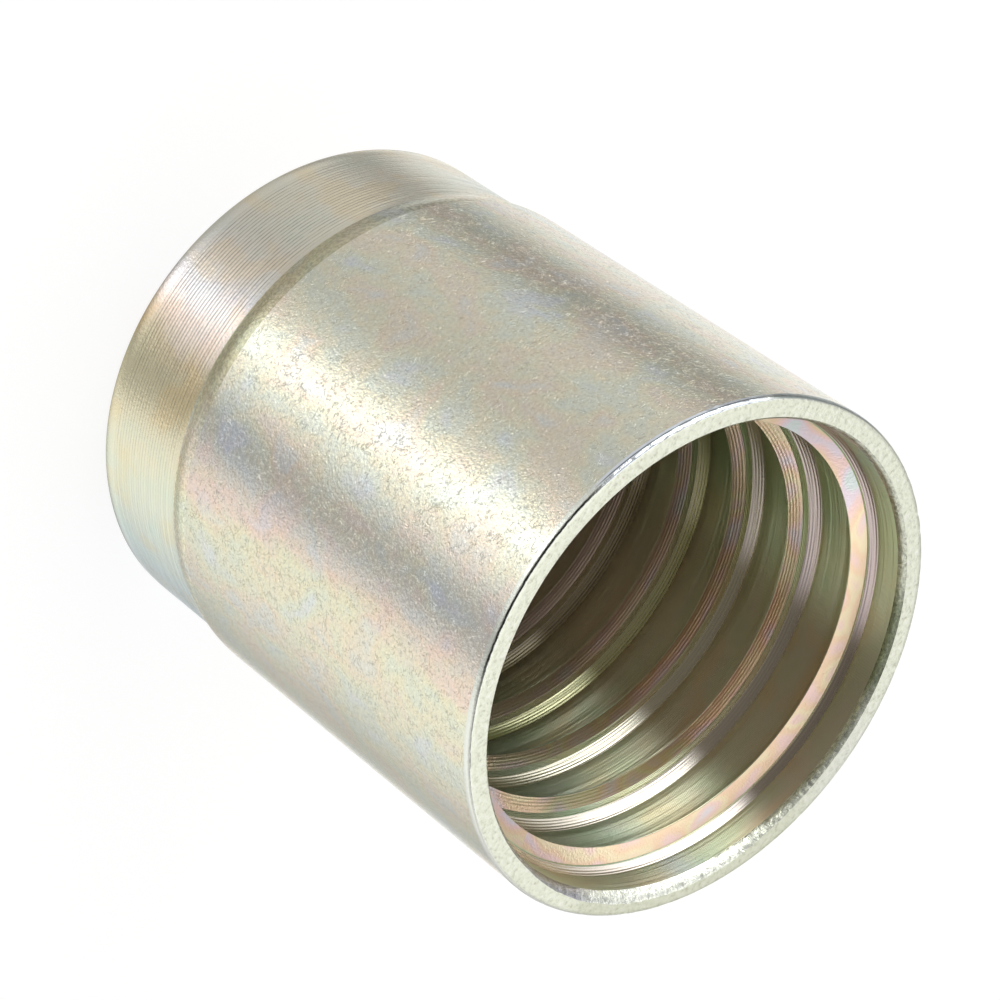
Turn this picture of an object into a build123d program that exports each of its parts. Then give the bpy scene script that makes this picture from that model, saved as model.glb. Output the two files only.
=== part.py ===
from build123d import *
import math
import os

# Crimp ferrule for a braided hydraulic hose of 19 mm (3/4 in) bore, in millimetres.
# It is one turned and plated steel piece that stands on its collar end, mouth up.
# The origin is the centre of the collar end face, and +Z runs along the axis to the mouth.
# Radii are built outward from the bore over the teeth, and depths run from the mouth.

# Bore over the crests of the ring teeth, and what stands outside and inside it
tooth_bore_diameter = 28.6
tooth_height = 1.7
groove_wall = 2.0
collar_step = 0.45
lip_height = 2.3

# Lengths along the outside
length = 41.5
collar_length = 8.6
shoulder_slope_length = 1.2
collar_end_chamfer = 0.3

# Rim at the mouth, with its edges broken outside and inside
rim_outer_break_width = 0.14
rim_outer_break_depth = 0.33
rim_inner_break_width = 0.3
rim_inner_break_depth = 0.65

# Mouth bore and the lower first tooth, whose face slopes at an angle to the axis
mouth_wall = 1.6
first_tooth_height = 1.45
first_tooth_depth = 3.6
first_tooth_face_angle = 60.0

# The other ring teeth, which bite into the cover of the hose
second_tooth_depth = 9.0
tooth_pitch = 5.7
tooth_crest_width = 0.15
groove_corner_length = 1.5
groove_corner_flats = 3
relief_least_width = 4.0

# Lip at the collar end, which is pressed into the groove of the fitting's stem
lip_thickness = 3.0
lip_edge_chamfer = 0.5

# Radii and heights that follow
tooth_radius = tooth_bore_diameter / 2
groove_radius = tooth_radius + tooth_height
body_radius = groove_radius + groove_wall
collar_radius = body_radius - collar_step
mouth_radius = body_radius - mouth_wall
first_tooth_radius = mouth_radius - first_tooth_height
lip_radius = tooth_radius - lip_height
lip_depth = length - lip_thickness

# Rows of teeth that fit between the first tooth and the relief in front of the lip
tooth_room = lip_depth - relief_least_width - second_tooth_depth
tooth_rows = int(tooth_room / tooth_pitch) + 1
tooth_depths = [second_tooth_depth + row * tooth_pitch for row in range(tooth_rows)]


def turned(*points):
    """Solid of revolution of a closed half section, each point a radius and a height."""
    with BuildPart() as solid:
        with BuildSketch(Plane.XZ):
            with BuildLine():
                Polyline(*points, close=True)
            make_face()
        revolve(axis=Axis.Z)
    return solid.part


def blank():
    """Outside of the ferrule: collar, sloped shoulder, body and the broken rim edge."""
    return turned(
        (0, 0),
        (collar_radius - collar_end_chamfer, 0),
        (collar_radius, collar_end_chamfer),
        (collar_radius, collar_length),
        (body_radius, collar_length + shoulder_slope_length),
        (body_radius, length - rim_outer_break_depth),
        (body_radius - rim_outer_break_width, length),
        (0, length),
    )


def mouth():
    """Mouth bore with its broken edge, down to the sloped face and crest of the first tooth."""
    tooth_back = length - first_tooth_depth
    tooth_front = tooth_back + tooth_crest_width
    face_height = first_tooth_height / math.tan(math.radians(first_tooth_face_angle))
    return turned(
        (0, length),
        (mouth_radius + rim_inner_break_width, length),
        (mouth_radius, length - rim_inner_break_depth),
        (mouth_radius, tooth_front + face_height),
        (first_tooth_radius, tooth_front),
        (first_tooth_radius, tooth_back),
        (0, tooth_back),
    )


def corner(crest_radius, wall_height, corner_length):
    """Points of a groove's corner from a tooth's crest to the bottom, round in a few flats.

    A negative corner length makes the corner below its wall, and a positive one above it.
    """
    depth = groove_radius - crest_radius
    angles = [math.radians(90 * flat / groove_corner_flats) for flat in range(groove_corner_flats + 1)]
    return [
        (crest_radius + depth * math.sin(angle), wall_height + corner_length * (1 - math.cos(angle)))
        for angle in angles
    ]


def groove(upper_depth, upper_crest_radius, lower_depth):
    """Ring groove with a tooth's wall at each end, cut from the axis outward."""
    corner_length = min(groove_corner_length, 0.45 * (lower_depth - upper_depth))
    top = length - upper_depth
    bottom = length - lower_depth
    upper_corner = corner(upper_crest_radius, top, -corner_length)
    lower_corner = corner(tooth_radius, bottom, corner_length)
    return turned((0, top), *upper_corner, *reversed(lower_corner), (0, bottom))


def grooves():
    """The groove in front of each tooth behind the first, and the relief before the lip."""
    starts = [first_tooth_depth, *tooth_depths]
    crest_radii = [first_tooth_radius] + [tooth_radius] * tooth_rows
    ends = [depth - tooth_crest_width for depth in tooth_depths] + [lip_depth]
    return [groove(*edges) for edges in zip(starts, crest_radii, ends)]


def tooth_bore():
    """Bore over the crests of the teeth, down to the lip."""
    return turned(
        (0, length - first_tooth_depth),
        (tooth_radius, length - first_tooth_depth),
        (tooth_radius, lip_thickness),
        (0, lip_thickness),
    )


def lip_bore():
    """Hole in the lip for the stem, chamfered at both ends."""
    return turned(
        (0, 0),
        (lip_radius + lip_edge_chamfer, 0),
        (lip_radius, lip_edge_chamfer),
        (lip_radius, lip_thickness - lip_edge_chamfer),
        (lip_radius + lip_edge_chamfer, lip_thickness),
        (0, lip_thickness),
    )


ferrule = blank() - mouth() - tooth_bore() - lip_bore() - grooves()

os.makedirs("parts", exist_ok=True)
export_step(ferrule, "parts/ferrule.step")
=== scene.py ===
import math
import random

import bpy
from mathutils import Euler, Matrix, Vector, noise


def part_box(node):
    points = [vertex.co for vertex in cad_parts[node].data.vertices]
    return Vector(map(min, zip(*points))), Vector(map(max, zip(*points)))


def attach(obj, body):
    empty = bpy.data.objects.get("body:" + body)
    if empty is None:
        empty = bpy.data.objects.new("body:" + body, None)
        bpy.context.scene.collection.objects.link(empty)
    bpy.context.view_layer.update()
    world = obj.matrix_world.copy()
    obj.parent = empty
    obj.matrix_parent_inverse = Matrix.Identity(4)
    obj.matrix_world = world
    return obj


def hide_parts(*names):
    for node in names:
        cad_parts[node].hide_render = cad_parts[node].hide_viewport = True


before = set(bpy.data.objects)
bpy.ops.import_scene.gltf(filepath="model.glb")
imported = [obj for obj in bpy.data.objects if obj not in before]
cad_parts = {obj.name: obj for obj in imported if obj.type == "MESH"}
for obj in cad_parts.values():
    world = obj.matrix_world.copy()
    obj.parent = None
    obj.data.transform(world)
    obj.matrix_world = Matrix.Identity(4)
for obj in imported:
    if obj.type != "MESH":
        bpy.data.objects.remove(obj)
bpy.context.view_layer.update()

MM = 0.001
random.seed(7)

# Rise above the collar and distance up from it, at each point of the rounded shoulder, in millimetres
SHOULDER = [(0.03, 0.06), (0.20, 0.50), (0.34, 0.90), (0.41, 1.25), (0.44, 1.6), (0.45, 1.9)]

# Inset from the wall and depth below the rim, at each point of the rim's outer and inner edge
OUTER_EDGE = [(0.0, 0.30), (0.015, 0.19), (0.05, 0.1), (0.1, 0.04), (0.18, 0.0)]
INNER_EDGE = [(0.17, 0.08), (0.09, 0.2), (0.03, 0.38), (0.0, 0.6)]
INNER_EDGE_WIDTH = 0.28
INNER_EDGE_DEPTH = INNER_EDGE[-1][1]

# Sizes in millimetres, as in the part's source, with the overall sizes from the frame
_, frame_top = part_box("ferrule")
BODY_RADIUS = round(frame_top.x / MM, 2)
LENGTH = round(frame_top.z / MM, 2)
COLLAR_RADIUS = BODY_RADIUS - SHOULDER[-1][0]
COLLAR_LENGTH = 8.6
COLLAR_EDGE = 0.3
GROOVE_RADIUS = BODY_RADIUS - 1.9
MOUTH_RADIUS = BODY_RADIUS - 1.6
TOOTH_RADIUS = BODY_RADIUS - 3.7
FIRST_TOOTH_RADIUS = MOUTH_RADIUS - 1.45
FIRST_TOOTH_DEPTH = 3.6
TOOTH_DEPTHS = [9.0 + 5.7 * row for row in range(5)]
CREST_WIDTH = 0.12
CORNER_LENGTH = 1.5
LIP_RADIUS = TOOTH_RADIUS - 2.3
LIP_THICKNESS = 3.0
LIP_EDGE = 0.5

# Turning lines on the collar: where they begin and end, their pitch and how deep they are
FIRST_LINE = 1.1
LAST_LINE = COLLAR_LENGTH - 0.3
LINE_PITCH = 0.3
LINE_DEPTH = 0.03

# Slope from the axis in degrees at the start and end of each stretch of a tooth's face, and its length
FIRST_FACE = [(28, 42, 0.57), (42, 66, 0.12), (66, 71, 1.12)]
LATER_FACE = [(34, 46, 0.82), (48, 58, 0.4), (64, 80, 1.0)]

# A face is foot up to the first of these slopes and tooth from the second
FOOT_SLOPE = 47
TOOTH_SLOPE = 60

# Height of the turning ridges on the first tooth, on the teeth after it and at the foot of each,
# and about how far apart they are
FIRST_RIDGE = 0.003
LATER_RIDGES = [0.02, 0.016, 0.012, 0.008, 0.006]
FOOT_RIDGE = 0.009
RIDGE_SPACING = 0.2

# Directions round from +X: the middle of the stretch where the rim's inner edge is folded over,
# and the middle of the side where it is torn
FOLD_ANGLE = math.radians(34)
TORN_ANGLE = math.radians(75)

SEGMENTS = 320
CORNER_STEPS = 5
CORNER_ANGLES = [math.radians(90 * step / CORNER_STEPS) for step in range(CORNER_STEPS + 1)]


def smooth_steps(start, end, count):
    """Evenly spaced values after start up to and with end."""
    return [start + (end - start) * step / count for step in range(1, count + 1)]


def turned_lines(radius, start, end, pitch, depth):
    """Points up a turned wall between two heights, with fine lines cut into it."""
    ridges = max(1, round((end - start) / pitch))
    points = []
    for step in range(1, 2 * ridges):
        cut = depth * random.uniform(0.4, 1.0) if step % 2 else 0.0
        points.append((radius - cut, start + (end - start) * step / (2 * ridges)))
    return points + [(radius, end)]


def outside():
    """Half section of the outside from the collar end up to the rim, as (radius, height, zone)."""
    points = [(COLLAR_RADIUS - COLLAR_EDGE, 0.0, "rim")]
    points += [(COLLAR_RADIUS - 0.1, 0.07, "turned"), (COLLAR_RADIUS, COLLAR_EDGE, "turned")]
    points += [(COLLAR_RADIUS, z, "turned") for z in smooth_steps(COLLAR_EDGE, FIRST_LINE, 2)]
    lines = turned_lines(COLLAR_RADIUS, FIRST_LINE, LAST_LINE, LINE_PITCH, LINE_DEPTH)
    points += [(r, z, "turned") for r, z in lines]
    points += [(COLLAR_RADIUS, COLLAR_LENGTH - 0.1, "turned")]
    points += [(COLLAR_RADIUS + rise, COLLAR_LENGTH + up, "shoulder") for rise, up in SHOULDER]
    body_start = COLLAR_LENGTH + SHOULDER[-1][1]
    points += [(BODY_RADIUS, z, "body") for z in smooth_steps(body_start, LENGTH - 0.5, 12)]
    return points


def rim():
    """Half section of the rim, with both of its broken edges, from the body to the mouth."""
    points = [(BODY_RADIUS - inset, LENGTH - depth, "edge") for inset, depth in OUTER_EDGE]
    flat_start = BODY_RADIUS - OUTER_EDGE[-1][0]
    points += [(r, LENGTH, "rim") for r in smooth_steps(flat_start, MOUTH_RADIUS + INNER_EDGE_WIDTH, 5)]
    return points + [(MOUTH_RADIUS + inset, LENGTH - depth, "burr") for inset, depth in INNER_EDGE]


def face_zone(slope):
    """Zone of the front face of a tooth at a slope in degrees."""
    if slope < FOOT_SLOPE:
        return "foot"
    return "bore" if slope < TOOTH_SLOPE else "tooth"


def face(stretches, crest_radius, crest_height, foot_radius, ridge):
    """Front face of a tooth from its foot in the groove to its crest, with the lines of its turning."""
    places = [(0.0, 0.0)]
    slopes = [stretches[0][0]]
    for start, end, length in stretches:
        count = 2 * max(1, round(length / RIDGE_SPACING))
        for step in range(count):
            slope = math.radians(start + (end - start) * (step + 0.5) / count)
            radius, height = places[-1]
            run = length / count
            places.append((radius + run * math.sin(slope), height + run * math.cos(slope)))
            slopes.append(math.degrees(slope))
    reach = (foot_radius - crest_radius) / places[-1][0]
    points = []
    for index, ((inward, down), slope) in enumerate(zip(places, slopes)):
        zone = face_zone(slope)
        lift = 0.0
        if index % 2 and index < len(places) - 1:
            lift = random.uniform(0.3, 1.0) * (FOOT_RIDGE if zone == "foot" else ridge)
        tilt = math.radians(slope)
        points.append((
            foot_radius - inward * reach - lift * math.cos(tilt),
            crest_height + (places[-1][1] - down) * reach + lift * math.sin(tilt),
            zone,
        ))
    wall_end = (foot_radius + 0.025, points[0][1] + 0.05, "bore")
    return [wall_end] + points


def back(crest_radius, crest_height):
    """Rounded back of a tooth, from its crest down to the groove."""
    depth = GROOVE_RADIUS - crest_radius
    return [
        (crest_radius + depth * math.sin(a), crest_height - CORNER_LENGTH * (1 - math.cos(a)), "bore")
        for a in CORNER_ANGLES
    ]


def inside():
    """Half section of the inside from the mouth down to the lip."""
    points = []
    start = LENGTH - INNER_EDGE_DEPTH
    wall_radius = MOUTH_RADIUS
    teeth = [(FIRST_FACE, FIRST_TOOTH_RADIUS, FIRST_TOOTH_DEPTH, FIRST_RIDGE)]
    teeth += [(LATER_FACE, TOOTH_RADIUS, depth, ridge) for depth, ridge in zip(TOOTH_DEPTHS, LATER_RIDGES)]
    for stretches, crest_radius, depth, ridge in teeth:
        front = face(stretches, crest_radius, LENGTH - depth + CREST_WIDTH, wall_radius, ridge)
        points += [(wall_radius, z, "bore") for z in smooth_steps(start, front[0][1] + 0.05, 3)]
        points += front
        points += back(crest_radius, LENGTH - depth)
        start = points[-1][1]
        wall_radius = GROOVE_RADIUS
    depth = GROOVE_RADIUS - TOOTH_RADIUS
    points += [
        (TOOTH_RADIUS + depth * math.cos(a), LIP_THICKNESS + CORNER_LENGTH * (1 - math.sin(a)), "bore")
        for a in CORNER_ANGLES
    ]
    points += [(LIP_RADIUS + LIP_EDGE, LIP_THICKNESS, "bore"), (LIP_RADIUS, LIP_THICKNESS - LIP_EDGE, "bore")]
    points += [(LIP_RADIUS, LIP_EDGE, "bore"), (LIP_RADIUS + LIP_EDGE, 0.0, "rim")]
    return points


def ragged(radius, height, angle):
    """Small nicks and burrs along the two edges of the rim."""
    below = LENGTH - height
    if below > INNER_EDGE_DEPTH - 0.01 or radius > BODY_RADIUS - 1e-6:
        return radius, height
    around = Vector((math.cos(angle), math.sin(angle), 0.0))
    fine = noise.noise(around * 46 + Vector((3, 1, 8)))
    coarse = noise.noise(around * 14 + Vector((9, 4, 2)))
    if radius > BODY_RADIUS - 0.2 and below > 0.01:
        nick = max(0.0, fine + 0.5 * coarse - 0.15)
        return radius - 0.09 * nick, height
    inward = min(1.0, (BODY_RADIUS - radius) / (BODY_RADIUS - MOUTH_RADIUS - INNER_EDGE_WIDTH))
    level = 1 - below / INNER_EDGE_DEPTH
    turned = math.remainder(angle - FOLD_ANGLE, 2 * math.pi)
    folded = max(0.0, math.cos(2.2 * turned)) if abs(turned) < 1 else 0.0
    fold = folded * inward ** 2 * level * (0.42 + 0.12 * fine)
    torn = 0.5 + 0.5 * math.cos(angle - TORN_ANGLE) if inward == 1.0 else 0.0
    burr = torn * level * (0.75 * fine + 0.5 * coarse)
    return radius + fold + 0.11 * burr, height - 0.06 * abs(fine) * torn


def ferrule_mesh():
    """Closed mesh of the whole ferrule, turned from its half section."""
    section = outside() + rim() + inside()
    rows = len(section)
    zones = list(FINISHES)
    along = [0.0]
    for (r0, z0, _), (r1, z1, _) in zip(section, section[1:] + section[:1]):
        along.append(along[-1] + math.hypot(r1 - r0, z1 - z0))
    verts = []
    for radius, height, _ in section:
        for step in range(SEGMENTS):
            angle = 2 * math.pi * step / SEGMENTS
            r, z = ragged(radius, height, angle)
            verts.append((r * math.cos(angle) * MM, r * math.sin(angle) * MM, z * MM))
    faces = []
    finishes = []
    unrolled = []
    turn = 2 * math.pi * BODY_RADIUS / SEGMENTS
    for row in range(rows):
        next_row = (row + 1) % rows
        below = row * SEGMENTS
        above = next_row * SEGMENTS
        finish = zones.index(section[next_row][2])
        for step in range(SEGMENTS):
            beside = (step + 1) % SEGMENTS
            faces.append((below + step, below + beside, above + beside, above + step))
            finishes.append(finish)
            for column, line in ((step, row), (step + 1, row), (step + 1, row + 1), (step, row + 1)):
                unrolled += (column * turn, along[line])
    mesh = bpy.data.meshes.new("plated_ferrule")
    mesh.from_pydata(verts, [], faces)
    mesh.polygons.foreach_set("material_index", finishes)
    mesh.polygons.foreach_set("use_smooth", [True] * len(faces))
    mesh.uv_layers.new(name="unrolled").data.foreach_set("uv", unrolled)
    mesh.validate()
    mesh.update()
    mesh.set_sharp_from_angle(angle=math.radians(32))
    return mesh


class Tree:
    """Adds nodes to one material or world, and links them."""

    def __init__(self, owner):
        owner.use_nodes = True
        self.nodes, self.links = owner.node_tree.nodes, owner.node_tree.links

    def put(self, socket, value):
        """Link a node's output to a socket, or set the socket's value."""
        if isinstance(value, bpy.types.NodeSocket):
            self.links.new(value, socket)
        elif value is not None:
            socket.default_value = value

    def add(self, kind, *values, sockets=None, **settings):
        """New shader node, with its inputs by order or by name and its settings."""
        node = self.nodes.new("ShaderNode" + kind)
        for name, value in settings.items():
            setattr(node, name, value)
        for index, value in enumerate(values):
            self.put(node.inputs[index], value)
        for name, value in (sockets or {}).items():
            self.put(node.inputs[name], value)
        return node

    def math(self, operation, *values):
        """Result of a sum on numbers."""
        return self.add("Math", *values, operation=operation).outputs[0]

    def vector(self, operation, *values, **sockets):
        """Result of a sum on vectors."""
        return self.add("VectorMath", *values, operation=operation, sockets=sockets).outputs[0]

    def smooth(self, value, low, high):
        """Smooth step from 0 at low to 1 at high."""
        node = self.add("MapRange", interpolation_type="SMOOTHSTEP")
        self.put(node.inputs["Value"], value)
        node.inputs["From Min"].default_value = low
        node.inputs["From Max"].default_value = high
        return node.outputs[0]

    def noise(self, place, scale, detail=2.0, roughness=0.5, distortion=0.0):
        """Smooth random pattern around 0.5."""
        return self.add("TexNoise", sockets={
            "Vector": place, "Scale": scale, "Detail": detail,
            "Roughness": roughness, "Distortion": distortion,
        }).outputs[0]

    def ramp(self, value, stops, interpolation="EASE"):
        """Colour or level that changes with a value between 0 and 1."""
        node = self.add("ValToRGB", value)
        node.color_ramp.interpolation = interpolation
        elements = node.color_ramp.elements
        while len(elements) > 1:
            elements.remove(elements[-1])
        for index, (position, colour) in enumerate(stops):
            stop = elements[0] if index == 0 else elements.new(position)
            stop.position = position
            stop.color = (*colour, 1) if isinstance(colour, tuple) else (colour, colour, colour, 1)
        return node.outputs[0]

    def mix(self, share, first, second, blend="MIX"):
        """Mix of two colours by a share, or their product."""
        node = self.add("Mix", data_type="RGBA", blend_type=blend)
        self.put(node.inputs[0], share)
        self.put(node.inputs[6], (*first, 1) if isinstance(first, tuple) else first)
        self.put(node.inputs[7], (*second, 1) if isinstance(second, tuple) else second)
        return node.outputs[2]

    def creases(self, place, scale, width, salt):
        """Short wandering lines; 1 on a line and 0 off it."""
        shifted = self.vector("ADD", place, (salt, salt * 0.4, salt * 0.7))
        wave = self.noise(shifted, scale, 2.0, 0.5, 1.0)
        off = self.math("ABSOLUTE", self.math("SUBTRACT", wave, 0.5))
        there = self.smooth(self.noise(shifted, scale * 1.3, 1.0, 0.5, 0.0), 0.5, 0.6)
        return self.math("MULTIPLY", self.smooth(off, width, 0.0), there)

    def specks(self, place, scale, size, share):
        """Small round spots; 1 at the middle of a spot and 0 off it."""
        cell = self.add("TexVoronoi", sockets={"Vector": place, "Scale": scale})
        chance = self.add("SeparateColor", cell.outputs["Color"]).outputs[0]
        there = self.math("LESS_THAN", chance, share)
        return self.math("MULTIPLY", self.smooth(cell.outputs["Distance"], size, 0.0), there)

    def round_share(self, unrolled):
        """Share of the way round, from 0 at the seam to 1."""
        around = self.add("SeparateXYZ", unrolled).outputs["X"]
        return self.math("MULTIPLY", around, 1 / (2 * math.pi * BODY_RADIUS))

    def depth(self, place):
        """Depth below the rim in millimetres."""
        return self.math("SUBTRACT", LENGTH, self.add("SeparateXYZ", place).outputs["Z"])


def facing(degrees):
    """Share of the way round at an angle counted from the camera's side."""
    return (degrees + 270) % 360 / 360


def drifting(tree, unrolled, drift, width):
    """Share of the way round, moved to and fro by a random pattern, so that no edge runs straight."""
    level = tree.math("SUBTRACT", tree.round_share(unrolled), width / 2)
    return tree.math("MULTIPLY_ADD", drift, width, level)


def plating(name, roughness, streak=0.0):
    """New metal material, its tree, its shader and the coordinates in millimetres.

    With streak, its turning lines spread reflections along the axis.
    """
    material = bpy.data.materials.new(name)
    tree = Tree(material)
    shader = tree.nodes["Principled BSDF"]
    shader.inputs["Metallic"].default_value = 1
    shader.inputs["Roughness"].default_value = roughness
    shader.inputs["Anisotropic"].default_value = streak
    shader.inputs["Anisotropic Rotation"].default_value = 0.25
    place = tree.vector("SCALE", tree.add("TexCoord").outputs["Object"], Scale=1 / MM)
    unrolled = tree.add("UVMap", uv_map="unrolled").outputs[0]
    return material, tree, shader, place, unrolled


def bump(tree, shader, height, depth):
    """Relief on a shader, from a height between 0 and 1 and its depth in millimetres."""
    node = tree.add("Bump", sockets={"Height": height, "Distance": depth * MM, "Strength": 1.0})
    tree.links.new(node.outputs[0], shader.inputs["Normal"])


def body_colour(tree, unrolled):
    """Pale plating with soft patches of interference colour, and tints by the side facing the camera: a pink
    and lilac streak that is partly the plating's own colour and partly painted reflection, and painted shade
    further round.
    """
    patch = tree.noise(tree.vector("MULTIPLY", unrolled, (1.0, 0.6, 0.0)), 0.3, 2.0, 0.5, 0.3)
    film = tree.ramp(patch, [
        (0.29, (0.72, 0.78, 0.84)), (0.39, (0.75, 0.79, 0.68)), (0.49, (0.83, 0.79, 0.61)),
        (0.58, (0.87, 0.74, 0.60)), (0.68, (0.78, 0.76, 0.74)),
    ])
    colour = tree.mix(0.55, (0.80, 0.78, 0.65), film)
    mottle = tree.noise(tree.vector("MULTIPLY", unrolled, (1.0, 0.8, 0.0)), 1.1, 2.0, 0.6)
    tint = tree.ramp(mottle, [
        (0.38, (0.985, 1.0, 1.02)), (0.5, (1.0, 1.0, 1.0)), (0.62, (1.015, 0.995, 0.97)),
    ])
    colour = tree.mix(1.0, colour, tint, "MULTIPLY")
    drift = tree.noise(tree.vector("MULTIPLY", unrolled, (1.0, 0.4, 0.0)), 0.2, 2.0, 0.5, 0.4)
    # Tints by the side facing the camera: pink, lilac and yellow that are partly the film's own colour and
    # partly painted reflection, and painted shade from 70 to 80 degrees round.
    streak = tree.ramp(drifting(tree, unrolled, drift, 0.07), [
        (facing(12), (1.0, 1.0, 1.0)), (facing(21), (0.98, 0.98, 1.10)), (facing(27), (1.0, 0.95, 1.04)),
        (facing(31), (1.04, 0.94, 0.96)), (facing(36), (1.02, 1.02, 0.94)), (facing(58), (1.0, 1.01, 1.0)),
        (facing(70), (0.91, 0.92, 0.87)), (facing(80), (0.93, 0.93, 0.89)), (facing(88), (1.0, 1.0, 1.0)),
    ], "LINEAR")
    return tree.mix(1.0, colour, streak, "MULTIPLY")


def body_plating():
    """Plating on the body, with a grain that sparkles, partly from painted glints on its specks, and fine
    creases with painted shade in them.
    """
    material, tree, shader, place, unrolled = plating("body_plating", 0.18)
    grain = tree.noise(place, 5.0, 3.0, 0.62, 0.3)
    creases = tree.math("MAXIMUM", tree.creases(place, 1.1, 0.02, 0.0), tree.creases(place, 2.0, 0.03, 7.0))
    specks = tree.specks(place, 1.7, 0.24, 0.55)
    relief = tree.math("MULTIPLY_ADD", creases, -0.6, grain)
    relief = tree.math("MULTIPLY_ADD", specks, 0.45, relief)
    bump(tree, shader, relief, 0.021)
    # Grain tone, with painted glints where the specks lighten the colour and painted shade along the creases.
    shade = tree.math("MULTIPLY_ADD", tree.smooth(grain, 0.35, 0.65), 0.1, 0.95)
    shade = tree.math("MULTIPLY_ADD", specks, 0.12, shade)
    shade = tree.math("MULTIPLY_ADD", creases, -0.08, shade)
    colour = tree.mix(1.0, body_colour(tree, unrolled), shade, "MULTIPLY")
    tree.put(shader.inputs["Base Color"], colour)
    return material


def shoulder_plating():
    """Plating on the slope between the body and the collar, darkened by painted shade on the stretch facing
    the camera and lightened by painted light on either side of it.
    """
    material, tree, shader, place, unrolled = plating("shoulder_plating", 0.22)
    grain = tree.noise(place, 4.0, 3.0, 0.65)
    bump(tree, shader, grain, 0.03)
    # Painted shade from -48 to 8 degrees round, where the slope mirrors the dark underside, and painted light
    # on either side.
    shoulder_painted_light_and_shade = tree.ramp(tree.round_share(unrolled), [
        (facing(-70), (1.08, 1.08, 1.0)), (facing(-48), (0.86, 0.86, 0.82)),
        (facing(-20), (0.80, 0.79, 0.68)),
        (facing(8), (0.78, 0.78, 0.68)), (facing(24), (1.1, 1.1, 1.0)), (facing(60), (1.15, 1.18, 1.15)),
    ])
    shade = tree.math("MULTIPLY_ADD", tree.smooth(grain, 0.35, 0.65), 0.3, 0.78)
    colour = tree.mix(1.0, body_colour(tree, unrolled), shoulder_painted_light_and_shade, "MULTIPLY")
    tree.put(shader.inputs["Base Color"], tree.mix(1.0, colour, shade, "MULTIPLY"))
    return material


def turned_plating():
    """Plating on the turned collar, whose colour round it is partly the film's own and partly painted light
    and shade by the side facing the camera, and which shows its lines in patches, with painted shade in their
    grooves.
    """
    material, tree, shader, place, unrolled = plating("turned_plating", 0.22, 0.3)
    drift = tree.noise(tree.vector("MULTIPLY", unrolled, (1.0, 0.4, 0.0)), 0.25, 3.0, 0.6, 0.5)
    # Film colours mixed with painted light and shade: darker olive-gold near 12 degrees round, paler mint
    # towards 68 degrees.
    film = tree.ramp(drifting(tree, unrolled, drift, 0.05), [
        (0.0, (0.90, 1.0, 1.0)), (0.06, (0.80, 0.80, 0.66)), (0.14, (0.82, 0.74, 0.62)),
        (0.24, (0.76, 0.80, 0.66)), (0.34, (0.84, 0.76, 0.60)), (0.44, (0.76, 0.80, 0.72)),
        (facing(-85), (0.84, 0.86, 0.76)), (facing(-60), (0.88, 0.84, 0.70)),
        (facing(-28), (0.79, 0.75, 0.62)),
        (facing(-10), (0.79, 0.75, 0.68)), (facing(-5), (0.72, 0.70, 0.70)), (facing(0), (0.76, 0.68, 0.65)),
        (facing(6), (0.79, 0.66, 0.56)), (facing(12), (0.70, 0.60, 0.42)), (facing(21), (0.84, 0.76, 0.52)),
        (facing(31), (0.86, 0.80, 0.58)), (facing(44), (0.80, 0.82, 0.64)), (facing(56), (0.82, 0.88, 0.76)),
        (facing(68), (0.86, 0.98, 0.94)), (1.0, (0.90, 1.0, 1.0)),
    ], "LINEAR")
    blotch = tree.noise(place, 0.25, 2.0, 0.5, 0.2)
    blotches = tree.ramp(blotch, [
        (0.36, (0.95, 1.0, 1.02)), (0.5, (1.0, 1.0, 1.0)), (0.62, (1.05, 0.97, 0.86)),
    ])
    film = tree.mix(0.8, film, blotches, "MULTIPLY")
    height = tree.add("SeparateXYZ", place).outputs["Z"]
    wander = tree.noise(tree.vector("MULTIPLY", unrolled, (0.25, 1.0, 0.0)), 2.0, 2.0, 0.5)
    line = tree.math("MULTIPLY_ADD", height, 1 / LINE_PITCH, -FIRST_LINE / LINE_PITCH)
    line = tree.math("PINGPONG", tree.math("MULTIPLY_ADD", wander, 0.2, line), 0.5)
    cut = tree.smooth(line, 0.28, 0.5)
    begun = tree.smooth(height, FIRST_LINE - 0.1, FIRST_LINE + 0.5)
    there = tree.math("MULTIPLY", begun, tree.smooth(height, LAST_LINE + 0.1, LAST_LINE - 0.6))
    clear = tree.ramp(tree.round_share(unrolled), [
        (0.0, 0.25), (facing(-60), 0.25), (facing(-38), 0.7), (facing(-16), 1.0), (facing(18), 1.0),
        (facing(30), 0.5), (facing(45), 0.2), (1.0, 0.25),
    ])
    broken = tree.noise(tree.vector("MULTIPLY", unrolled, (0.8, 3.0, 0.0)), 1.0, 2.0, 0.6)
    there = tree.math("MULTIPLY", there, tree.math("MULTIPLY", clear, tree.smooth(broken, 0.2, 0.5)))
    cut = tree.math("MULTIPLY", cut, there)
    grain = tree.noise(place, 5.0, 3.0, 0.6)
    bump(tree, shader, tree.math("MULTIPLY_ADD", cut, -0.6, grain), 0.02)
    # Painted shade in the grooves of the turning lines, shown mostly on the stretch near the highlight.
    shade = tree.math("MULTIPLY_ADD", tree.math("MULTIPLY", cut, wander), -0.7, 1.03)
    tree.put(shader.inputs["Base Color"], tree.mix(1.0, film, shade, "MULTIPLY"))
    return material


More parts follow.
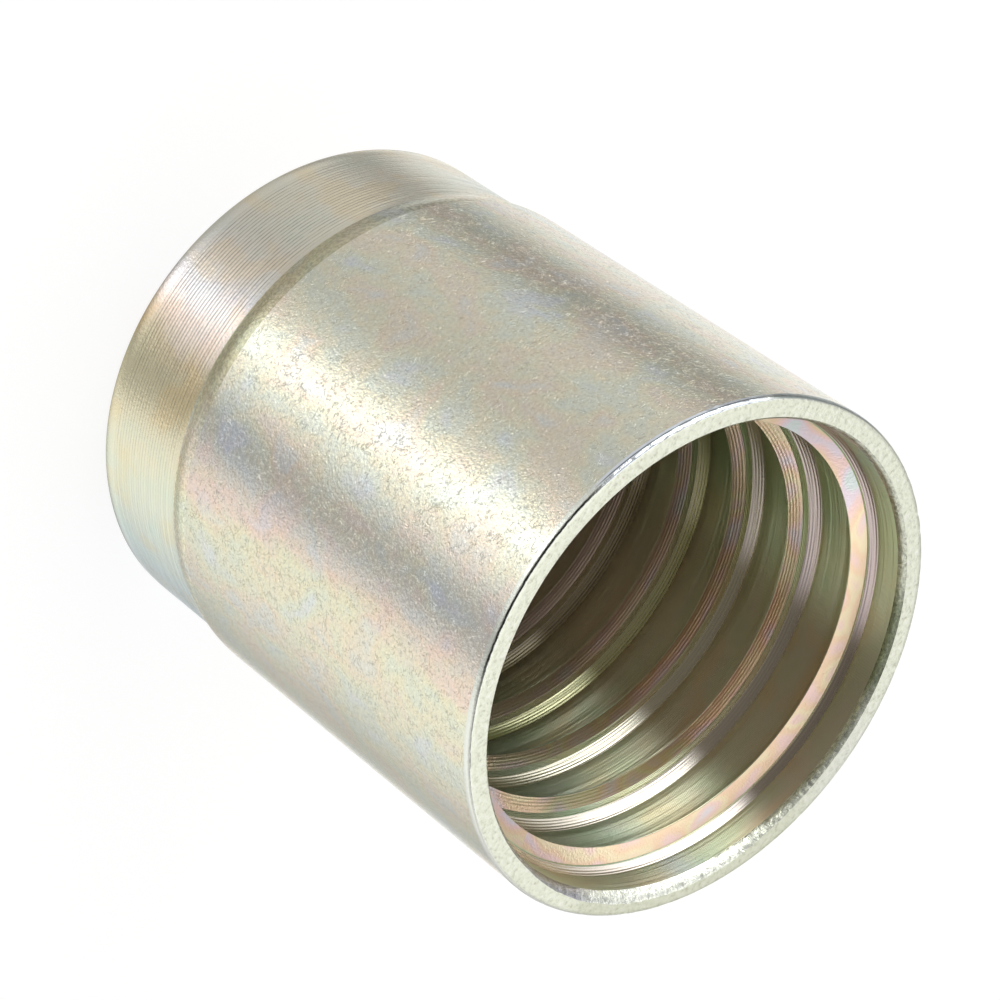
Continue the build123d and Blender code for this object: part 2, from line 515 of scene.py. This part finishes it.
def rim_plating():
    """Finely mottled plating on the flat of the rim, with painted shade on one stretch."""
    material, tree, shader, place, unrolled = plating("rim_plating", 0.36)
    mottle = tree.noise(place, 2.6, 5.0, 0.7)
    colour = tree.ramp(mottle, [
        (0.34, (0.58, 0.58, 0.47)), (0.44, (0.74, 0.76, 0.63)), (0.54, (0.80, 0.82, 0.68)),
        (0.66, (0.86, 0.86, 0.78)),
    ], "LINEAR")
    # Painted shade: darker from 108 to 158 degrees round from the camera's side.
    side = tree.ramp(tree.round_share(unrolled), [
        (facing(98), (1.0, 1.0, 1.0)), (facing(108), (0.84, 0.84, 0.80)), (facing(158), (0.84, 0.84, 0.80)),
        (facing(180), (0.94, 0.93, 0.98)), (facing(205), (1.0, 1.0, 1.0)),
    ])
    colour = tree.mix(1.0, colour, side, "MULTIPLY")
    dirt = tree.specks(place, 1.3, 0.2, 0.3)
    colour = tree.mix(tree.math("MULTIPLY", dirt, 0.6), colour, (0.42, 0.36, 0.24))
    bump(tree, shader, mottle, 0.045)
    tree.put(shader.inputs["Base Color"], colour)
    return material


def burr_plating():
    """Inner edge of the rim, folded over on one stretch and torn on another, with painted light where it is
    folded and painted shade on part of the torn side.
    """
    material, tree, shader, place, unrolled = plating("burr_plating", 0.26)
    torn = tree.noise(place, 2.8, 4.0, 0.7, 0.5)
    # Painted light from 108 to 148 degrees round and painted shade from 200 to 218 degrees round.
    colour = tree.ramp(tree.round_share(unrolled), [
        (0.0, (0.62, 0.62, 0.62)), (facing(102), (0.56, 0.56, 0.60)), (facing(108), (0.90, 0.93, 0.84)),
        (facing(148), (0.90, 0.93, 0.82)), (facing(158), (0.72, 0.74, 0.62)),
        (facing(194), (0.66, 0.68, 0.56)),
        (facing(200), (0.34, 0.38, 0.26)), (facing(218), (0.36, 0.40, 0.28)),
        (facing(224), (0.76, 0.78, 0.64)),
        (1.0, (0.62, 0.62, 0.62)),
    ], "LINEAR")
    shade = tree.math("MULTIPLY_ADD", tree.smooth(torn, 0.35, 0.6), 0.4, 0.7)
    bump(tree, shader, torn, 0.07)
    tree.put(shader.inputs["Base Color"], tree.mix(1.0, colour, shade, "MULTIPLY"))
    return material


def turned_streaks(tree, unrolled, pitch):
    """Height of the fine turning lines round the bore, up to 0.5."""
    along = tree.add("SeparateXYZ", unrolled).outputs["Y"]
    wander = tree.noise(tree.vector("MULTIPLY", unrolled, (0.008, 1.0, 0.0)), 5.0, 2.0, 0.6)
    line = tree.math("MULTIPLY_ADD", wander, 0.3, tree.math("MULTIPLY", along, 1 / pitch))
    deep = tree.smooth(wander, 0.3, 0.65)
    return tree.math("MULTIPLY", tree.math("PINGPONG", line, 0.5), tree.math("MULTIPLY_ADD", deep, 0.4, 0.65))


def bore_plating():
    """Plating in the mouth and the grooves, pale, brown and olive by turns round it as painted light and
    shade by the side facing the camera, with painted shade in part of the mouth and further in, and fine
    lines round it.
    """
    material, tree, shader, place, unrolled = plating("bore_plating", 0.32, 0.7)
    drift = tree.noise(tree.vector("MULTIPLY", unrolled, (0.5, 1.0, 0.0)), 0.3, 2.0, 0.5, 0.3)
    strayed = drifting(tree, unrolled, drift, 0.03)
    # Painted light and shade round the bore: brighter yellow-green from 130 to 156 degrees round, brown
    # painted shade from 163 to 203.
    colour = tree.ramp(strayed, [
        (0.0, (0.64, 0.70, 0.52)), (facing(118), (0.62, 0.68, 0.52)), (facing(130), (0.74, 0.81, 0.66)),
        (facing(141), (0.84, 0.88, 0.62)), (facing(156), (0.82, 0.82, 0.60)),
        (facing(163), (0.70, 0.62, 0.44)),
        (facing(203), (0.70, 0.64, 0.44)), (facing(212), (0.68, 0.70, 0.48)),
        (facing(235), (0.68, 0.76, 0.46)),
        (facing(262), (0.58, 0.68, 0.46)), (facing(-60), (0.70, 0.68, 0.50)),
        (facing(60), (0.70, 0.68, 0.50)),
        (1.0, (0.64, 0.70, 0.52)),
    ], "LINEAR")
    tint = tree.ramp(drift, [(0.35, (0.92, 1.0, 0.96)), (0.5, (1.0, 1.0, 1.0)), (0.65, (1.05, 0.95, 0.9))])
    colour = tree.mix(1.0, colour, tint, "MULTIPLY")
    depth = tree.depth(place)
    # Painted shade in the mouth from 114 to 155 degrees round, with a bluish tint.
    mouth = tree.ramp(strayed, [
        (facing(100), (0.95, 0.92, 0.88)), (facing(114), (0.80, 0.76, 0.72)),
        (facing(122), (0.66, 0.60, 0.56)),
        (facing(130), (0.60, 0.58, 0.54)), (facing(136), (0.50, 0.55, 0.68)),
        (facing(141), (0.54, 0.56, 0.58)),
        (facing(155), (0.76, 0.74, 0.72)), (facing(162), (0.95, 0.98, 0.98)), (facing(180), (1.0, 1.0, 1.0)),
    ], "LINEAR")
    in_mouth = tree.smooth(depth, 3.0, 2.6)
    colour = tree.mix(in_mouth, colour, tree.mix(1.0, colour, mouth, "MULTIPLY"))
    # Painted shade: browner and darker further in.
    colour = tree.mix(tree.smooth(depth, 14.0, 34.0), colour, (0.60, 0.50, 0.38))
    bump(tree, shader, turned_streaks(tree, unrolled, 0.1), 0.065)
    tree.put(shader.inputs["Base Color"], colour)
    return material


def tooth_plating():
    """Pink, orange and lilac plating on the faces of the teeth, with painted shade on one stretch of the
    later teeth and further in.
    """
    material, tree, shader, place, unrolled = plating("tooth_plating", 0.3, 0.6)
    drift = tree.noise(tree.vector("MULTIPLY", unrolled, (0.5, 1.0, 0.0)), 0.5, 1.0, 0.5, 0.2)
    colour = tree.ramp(drift, [
        (0.24, (0.72, 0.78, 0.76)), (0.31, (0.82, 0.71, 0.76)), (0.39, (0.91, 0.67, 0.62)),
        (0.50, (0.91, 0.68, 0.48)), (0.58, (0.91, 0.77, 0.53)), (0.66, (0.90, 0.68, 0.60)),
        (0.75, (0.80, 0.74, 0.78)),
    ])
    # Painted shade on the later teeth from 119 to 204 degrees round.
    shade = tree.ramp(tree.round_share(unrolled), [
        (0.0, (1.0, 1.0, 1.0)), (facing(110), (1.0, 1.0, 1.0)), (facing(119), (0.52, 0.58, 0.56)),
        (facing(157), (0.58, 0.58, 0.48)), (facing(168), (0.80, 0.70, 0.64)),
        (facing(204), (0.76, 0.68, 0.60)),
        (facing(215), (1.0, 1.0, 1.0)),
    ])
    depth = tree.depth(place)
    shaded = tree.mix(1.0, colour, shade, "MULTIPLY")
    colour = tree.mix(tree.smooth(depth, 4.5, 6.5), colour, shaded)
    # Painted shade: darker further in.
    colour = tree.mix(tree.smooth(depth, 8.0, 30.0), colour, (0.44, 0.34, 0.27))
    grain = tree.noise(place, 6.0, 2.0, 0.6)
    fine = tree.math("MULTIPLY", turned_streaks(tree, unrolled, 0.22), tree.smooth(depth, 3.0, 6.0))
    bump(tree, shader, tree.math("ADD", fine, grain), 0.025)
    tree.put(shader.inputs["Base Color"], colour)
    return material


def foot_plating():
    """Bright band at the foot of each tooth, yellower further in, darker by painted shade further in and on
    the far side, and lilac with painted shade on one stretch.
    """
    material, tree, shader, place, unrolled = plating("foot_plating", 0.22, 0.5)
    # Yellower further in, and darker by painted shade further in.
    colour = tree.ramp(tree.math("MULTIPLY", tree.depth(place), 1 / LENGTH), [
        (0.10, (0.88, 0.80, 0.72)), (0.32, (0.87, 0.83, 0.70)), (0.45, (0.78, 0.80, 0.48)),
        (0.56, (0.56, 0.50, 0.38)), (0.75, (0.40, 0.34, 0.27)),
    ], "LINEAR")
    # Painted shade on the far side from 164 to 203 degrees round, and lilac painted shade from 212 to 252
    # degrees.
    side = tree.ramp(tree.round_share(unrolled), [
        (0.0, (0.8, 0.8, 0.8)), (facing(112), (1.0, 1.0, 1.0)), (facing(158), (1.0, 1.0, 1.0)),
        (facing(164), (0.44, 0.40, 0.34)), (facing(203), (0.44, 0.40, 0.34)),
        (facing(212), (0.74, 0.67, 0.72)),
        (facing(252), (0.78, 0.72, 0.76)), (facing(275), (0.9, 0.9, 0.9)),
    ])
    bump(tree, shader, turned_streaks(tree, unrolled, 0.2), 0.02)
    tree.put(shader.inputs["Base Color"], tree.mix(1.0, colour, side, "MULTIPLY"))
    return material


def edge_plating():
    """Outer edge of the rim, beaded on one part with a painted bluish highlight and a painted dark outline,
    with painted shade on another part and a dark ragged line of painted shadow on a third.
    """
    material, tree, shader, place, unrolled = plating("edge_plating", 0.22)
    share = tree.round_share(unrolled)
    torn = tree.noise(place, 2.6, 3.0, 0.7)
    outward = tree.vector("MULTIPLY", place, (1.0, 1.0, 0.0))
    radius = tree.add("VectorMath", outward, operation="LENGTH").outputs["Value"]
    inset = tree.math("SUBTRACT", BODY_RADIUS, radius)
    across = tree.math("SUBTRACT", inset, tree.depth(place))
    strayed = tree.math("MULTIPLY_ADD", torn, 0.3, tree.math("SUBTRACT", across, 0.15))
    line = tree.smooth(tree.math("ABSOLUTE", strayed), 0.1, 0.06)
    # Painted shadow: a dark ragged line along the edge, strongest from -12 to 24 degrees round and faint
    # beyond.
    burr = tree.ramp(share, [
        (facing(-17), 0.0), (facing(-12), 1.0), (facing(24), 1.0), (facing(32), 0.25), (facing(80), 0.1),
    ], "LINEAR")
    # Painted shade from -88 to -61 degrees round.
    painted_shade_stretch = tree.ramp(share, [
        (facing(-100), 0.0), (facing(-88), 0.85), (facing(-61), 0.85), (facing(-56), 0.0),
    ])
    beads_and_painted_highlight = tree.ramp(share, [
        (facing(-60), 0.0), (facing(-54), 1.0), (facing(-18), 1.0), (facing(-14), 0.0),
    ], "LINEAR")
    bead = tree.add("TexVoronoi", sockets={"Vector": place, "Scale": 1.0}).outputs["Distance"]
    bead = tree.smooth(bead, 0.6, 0.1)
    outline = tree.smooth(tree.math("ABSOLUTE", tree.math("ADD", across, 0.25)), 0.07, 0.03)
    # Painted highlight, bluish white, on the beaded stretch, with a painted dark outline on its body side.
    colour = tree.mix(beads_and_painted_highlight, (0.80, 0.82, 0.74), (0.86, 0.91, 0.96))
    colour = tree.mix(tree.math("MULTIPLY", outline, beads_and_painted_highlight), colour, (0.22, 0.25, 0.28))
    painted_shade_stretch = tree.math("MULTIPLY", painted_shade_stretch, tree.smooth(across, 0.12, 0.02))
    colour = tree.mix(painted_shade_stretch, colour, (0.16, 0.19, 0.19))
    colour = tree.mix(tree.math("MULTIPLY", line, burr), colour, (0.07, 0.07, 0.06))
    relief = tree.math("MULTIPLY_ADD", tree.math("MULTIPLY", bead, beads_and_painted_highlight), 1.6, torn)
    bump(tree, shader, relief, 0.03)
    tree.put(shader.inputs["Base Color"], colour)
    return material


# Finish of each zone of the half section, in the order of the mesh's materials
FINISHES = {
    "body": body_plating,
    "turned": turned_plating,
    "rim": rim_plating,
    "bore": bore_plating,
    "tooth": tooth_plating,
    "foot": foot_plating,
    "edge": edge_plating,
    "burr": burr_plating,
    "shoulder": shoulder_plating,
}


def plated_ferrule():
    """The ferrule with its finishes, in place of the solid."""
    ferrule = bpy.data.objects.new("plated_ferrule", ferrule_mesh())
    bpy.context.scene.collection.objects.link(ferrule)
    for finish in FINISHES.values():
        ferrule.data.materials.append(finish())
    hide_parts("ferrule")
    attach(ferrule, "root")


# Brightness of the studio by direction: degrees round the ferrule from the camera's side, and level.
# The low panels are below the horizon, the high ones above it, and the top ones over those.
LOW_PANELS = [
    (-180, 1.05), (-140, 0.95), (-122, 0.63), (-110, 0.28), (-96, 0.41), (-84, 0.66),
    (-30, 0.57), (-18, 0.75), (-7, 1.0), (0, 2.4), (8, 1.1), (22, 1.0), (32, 0.50), (48, 0.40),
    (60, 0.96), (80, 1.0), (98, 0.95), (118, 0.75), (134, 0.60), (150, 0.53), (159, 0.66),
    (168, 1.45), (180, 1.05),
]
HIGH_PANELS = [
    (-180, 0.9), (-165, 0.5), (-130, 0.45), (-112, 1.05), (-98, 1.5), (-84, 2.8), (-52, 3.2),
    (-44, 2.0), (-37, 0.28), (40, 0.22), (54, 0.6), (66, 0.95), (130, 0.95), (150, 0.6), (180, 0.9),
]
TOP_PANELS = [
    (-180, 1.5), (-124, 1.3), (-108, 0.6), (-95, 0.35), (95, 0.35), (108, 0.6), (122, 1.3), (180, 1.5),
]
# Share of the high panels' level that is left above their ends on one side
PANEL_ENDS = [(-180, 1.0), (40, 1.0), (52, 0.35), (106, 0.35), (122, 1.0), (180, 1.0)]
# Levels straight up and straight down
CEILING = (1.15, 1.15, 1.15)
UNDERSIDE = (0.48, 0.48, 0.44)

# Sine of the elevation between which one part of the studio gives way to the next
LOW_TO_HIGH = (-0.25, -0.02)
HIGH_TO_ENDS = (0.48, 0.62)
HIGH_TO_TOP = (0.60, 0.72)
TOP_TO_CEILING = (0.93, 0.98)
LOW_TO_UNDERSIDE = (-0.84, -0.95)

# Brightness of the low panels: its gain with the sine of the elevation, at the horizon, and its limit
LOW_GAIN = 0.7
LOW_AT_HORIZON = 1.474
LOW_LIMIT = 1.12


def studio_world():
    """Soft studio: what the metal reflects changes round the object, and the backdrop is white."""
    world = bpy.data.worlds.new("studio")
    bpy.context.scene.world = world
    tree = Tree(world)
    tree.nodes.clear()
    direction = tree.add("SeparateXYZ", tree.add("TexCoord").outputs["Generated"])
    height = direction.outputs["Z"]
    away = tree.math("MULTIPLY", direction.outputs["Y"], -1.0)
    turn = tree.math("ARCTAN2", direction.outputs["X"], away)
    share = tree.math("MULTIPLY_ADD", turn, 0.5 / math.pi, 0.5)
    low, high, top, ends = (
        tree.ramp(share, [((degrees + 180) / 360, level) for degrees, level in panels])
        for panels in (LOW_PANELS, HIGH_PANELS, TOP_PANELS, PANEL_ENDS)
    )
    lift = tree.math("MINIMUM", tree.math("MULTIPLY_ADD", height, LOW_GAIN, LOW_AT_HORIZON), LOW_LIMIT)
    low = tree.mix(1.0, low, lift, "MULTIPLY")
    ended = tree.mix(1.0, high, ends, "MULTIPLY")
    high = tree.mix(tree.smooth(height, *HIGH_TO_ENDS), high, ended)
    level = tree.mix(tree.smooth(height, *LOW_TO_HIGH), low, high)
    level = tree.mix(tree.smooth(height, *HIGH_TO_TOP), level, top)
    level = tree.mix(tree.smooth(height, *TOP_TO_CEILING), level, CEILING)
    level = tree.mix(tree.smooth(height, *LOW_TO_UNDERSIDE), level, UNDERSIDE)
    panels = tree.add("Background", level)
    white = tree.add("Background", (1, 1, 1, 1))
    seen = tree.add("LightPath").outputs["Is Camera Ray"]
    mixed = tree.add("MixShader", seen, panels.outputs[0], white.outputs[0])
    tree.add("OutputWorld", mixed.outputs[0])


FLOOR_REACH = 1.5
FLOOR_GREY = (0.25, 0.25, 0.25, 1)
FLOOR_GLOW = 0.82
INSIDE_GREY = (0.6, 0.6, 0.6, 1)
INSIDE_CORNERS = 64
INSIDE_RADIUS = LIP_RADIUS + 0.45
INSIDE_HEIGHT = 0.02


def stage_face(name, corners, material_name):
    """One flat face that belongs to the studio, with an empty material tree."""
    mesh = bpy.data.meshes.new(name)
    mesh.from_pydata(corners, [], [tuple(range(len(corners)))])
    sheet = bpy.data.objects.new(name, mesh)
    bpy.context.scene.collection.objects.link(sheet)
    material = bpy.data.materials.new(material_name)
    tree = Tree(material)
    tree.nodes.clear()
    mesh.materials.append(material)
    return sheet, tree


def floor():
    """Pale floor that shows to the camera and takes the ferrule's shadow."""
    corners = [(FLOOR_REACH * x, FLOOR_REACH * y, 0) for x, y in ((-1, -1), (1, -1), (1, 1), (-1, 1))]
    plane, tree = stage_face("floor", corners, "pale_floor")
    plane.visible_glossy = False
    plane.visible_shadow = False
    diffuse = tree.add("BsdfDiffuse", FLOOR_GREY)
    glow = tree.add("Emission", (1, 1, 1, 1), FLOOR_GLOW)
    both = tree.add("AddShader", diffuse.outputs[0], glow.outputs[0])
    tree.add("OutputMaterial", both.outputs[0])


def floor_inside():
    """Disc of floor that shows through the hole in the lip, shaded by the ferrule round it."""
    angles = [2 * math.pi * step / INSIDE_CORNERS for step in range(INSIDE_CORNERS)]
    reach = INSIDE_RADIUS * MM
    corners = [(reach * math.cos(a), reach * math.sin(a), INSIDE_HEIGHT * MM) for a in angles]
    _, tree = stage_face("floor_inside", corners, "shaded_floor")
    tree.add("OutputMaterial", tree.add("BsdfDiffuse", INSIDE_GREY).outputs[0])


# Camera: the point it looks at and its distance from it in millimetres, and its angles in degrees
CAMERA_AIM = Vector((-0.80, 0.0, 19.69))
CAMERA_DISTANCE = 258.38
CAMERA_AZIMUTH = 0.242
CAMERA_ELEVATION = 42.566
CAMERA_ROLL = 125.78
SENSOR_WIDTH = 36
FOCAL_LENGTH = 142.3


def photo_camera():
    """Camera where the photograph was taken from, rolled so that the mouth points down to the right."""
    angles = [math.radians(a) for a in (90 - CAMERA_ELEVATION, 0, CAMERA_AZIMUTH)]
    turned = Euler(angles).to_matrix().to_4x4() @ Matrix.Rotation(math.radians(CAMERA_ROLL), 4, "Z")
    away = turned @ Vector((0, 0, CAMERA_DISTANCE))
    camera = bpy.data.objects.new("camera", bpy.data.cameras.new("camera"))
    camera.data.sensor_width = SENSOR_WIDTH
    camera.data.lens = FOCAL_LENGTH
    camera.data.clip_start = 0.01
    camera.matrix_world = Matrix.Translation((CAMERA_AIM + away) * MM) @ turned
    bpy.context.scene.collection.objects.link(camera)
    bpy.context.scene.camera = camera


plated_ferrule()
studio_world()
floor()
floor_inside()
photo_camera()
bpy.context.scene.view_settings.view_transform = "Standard"
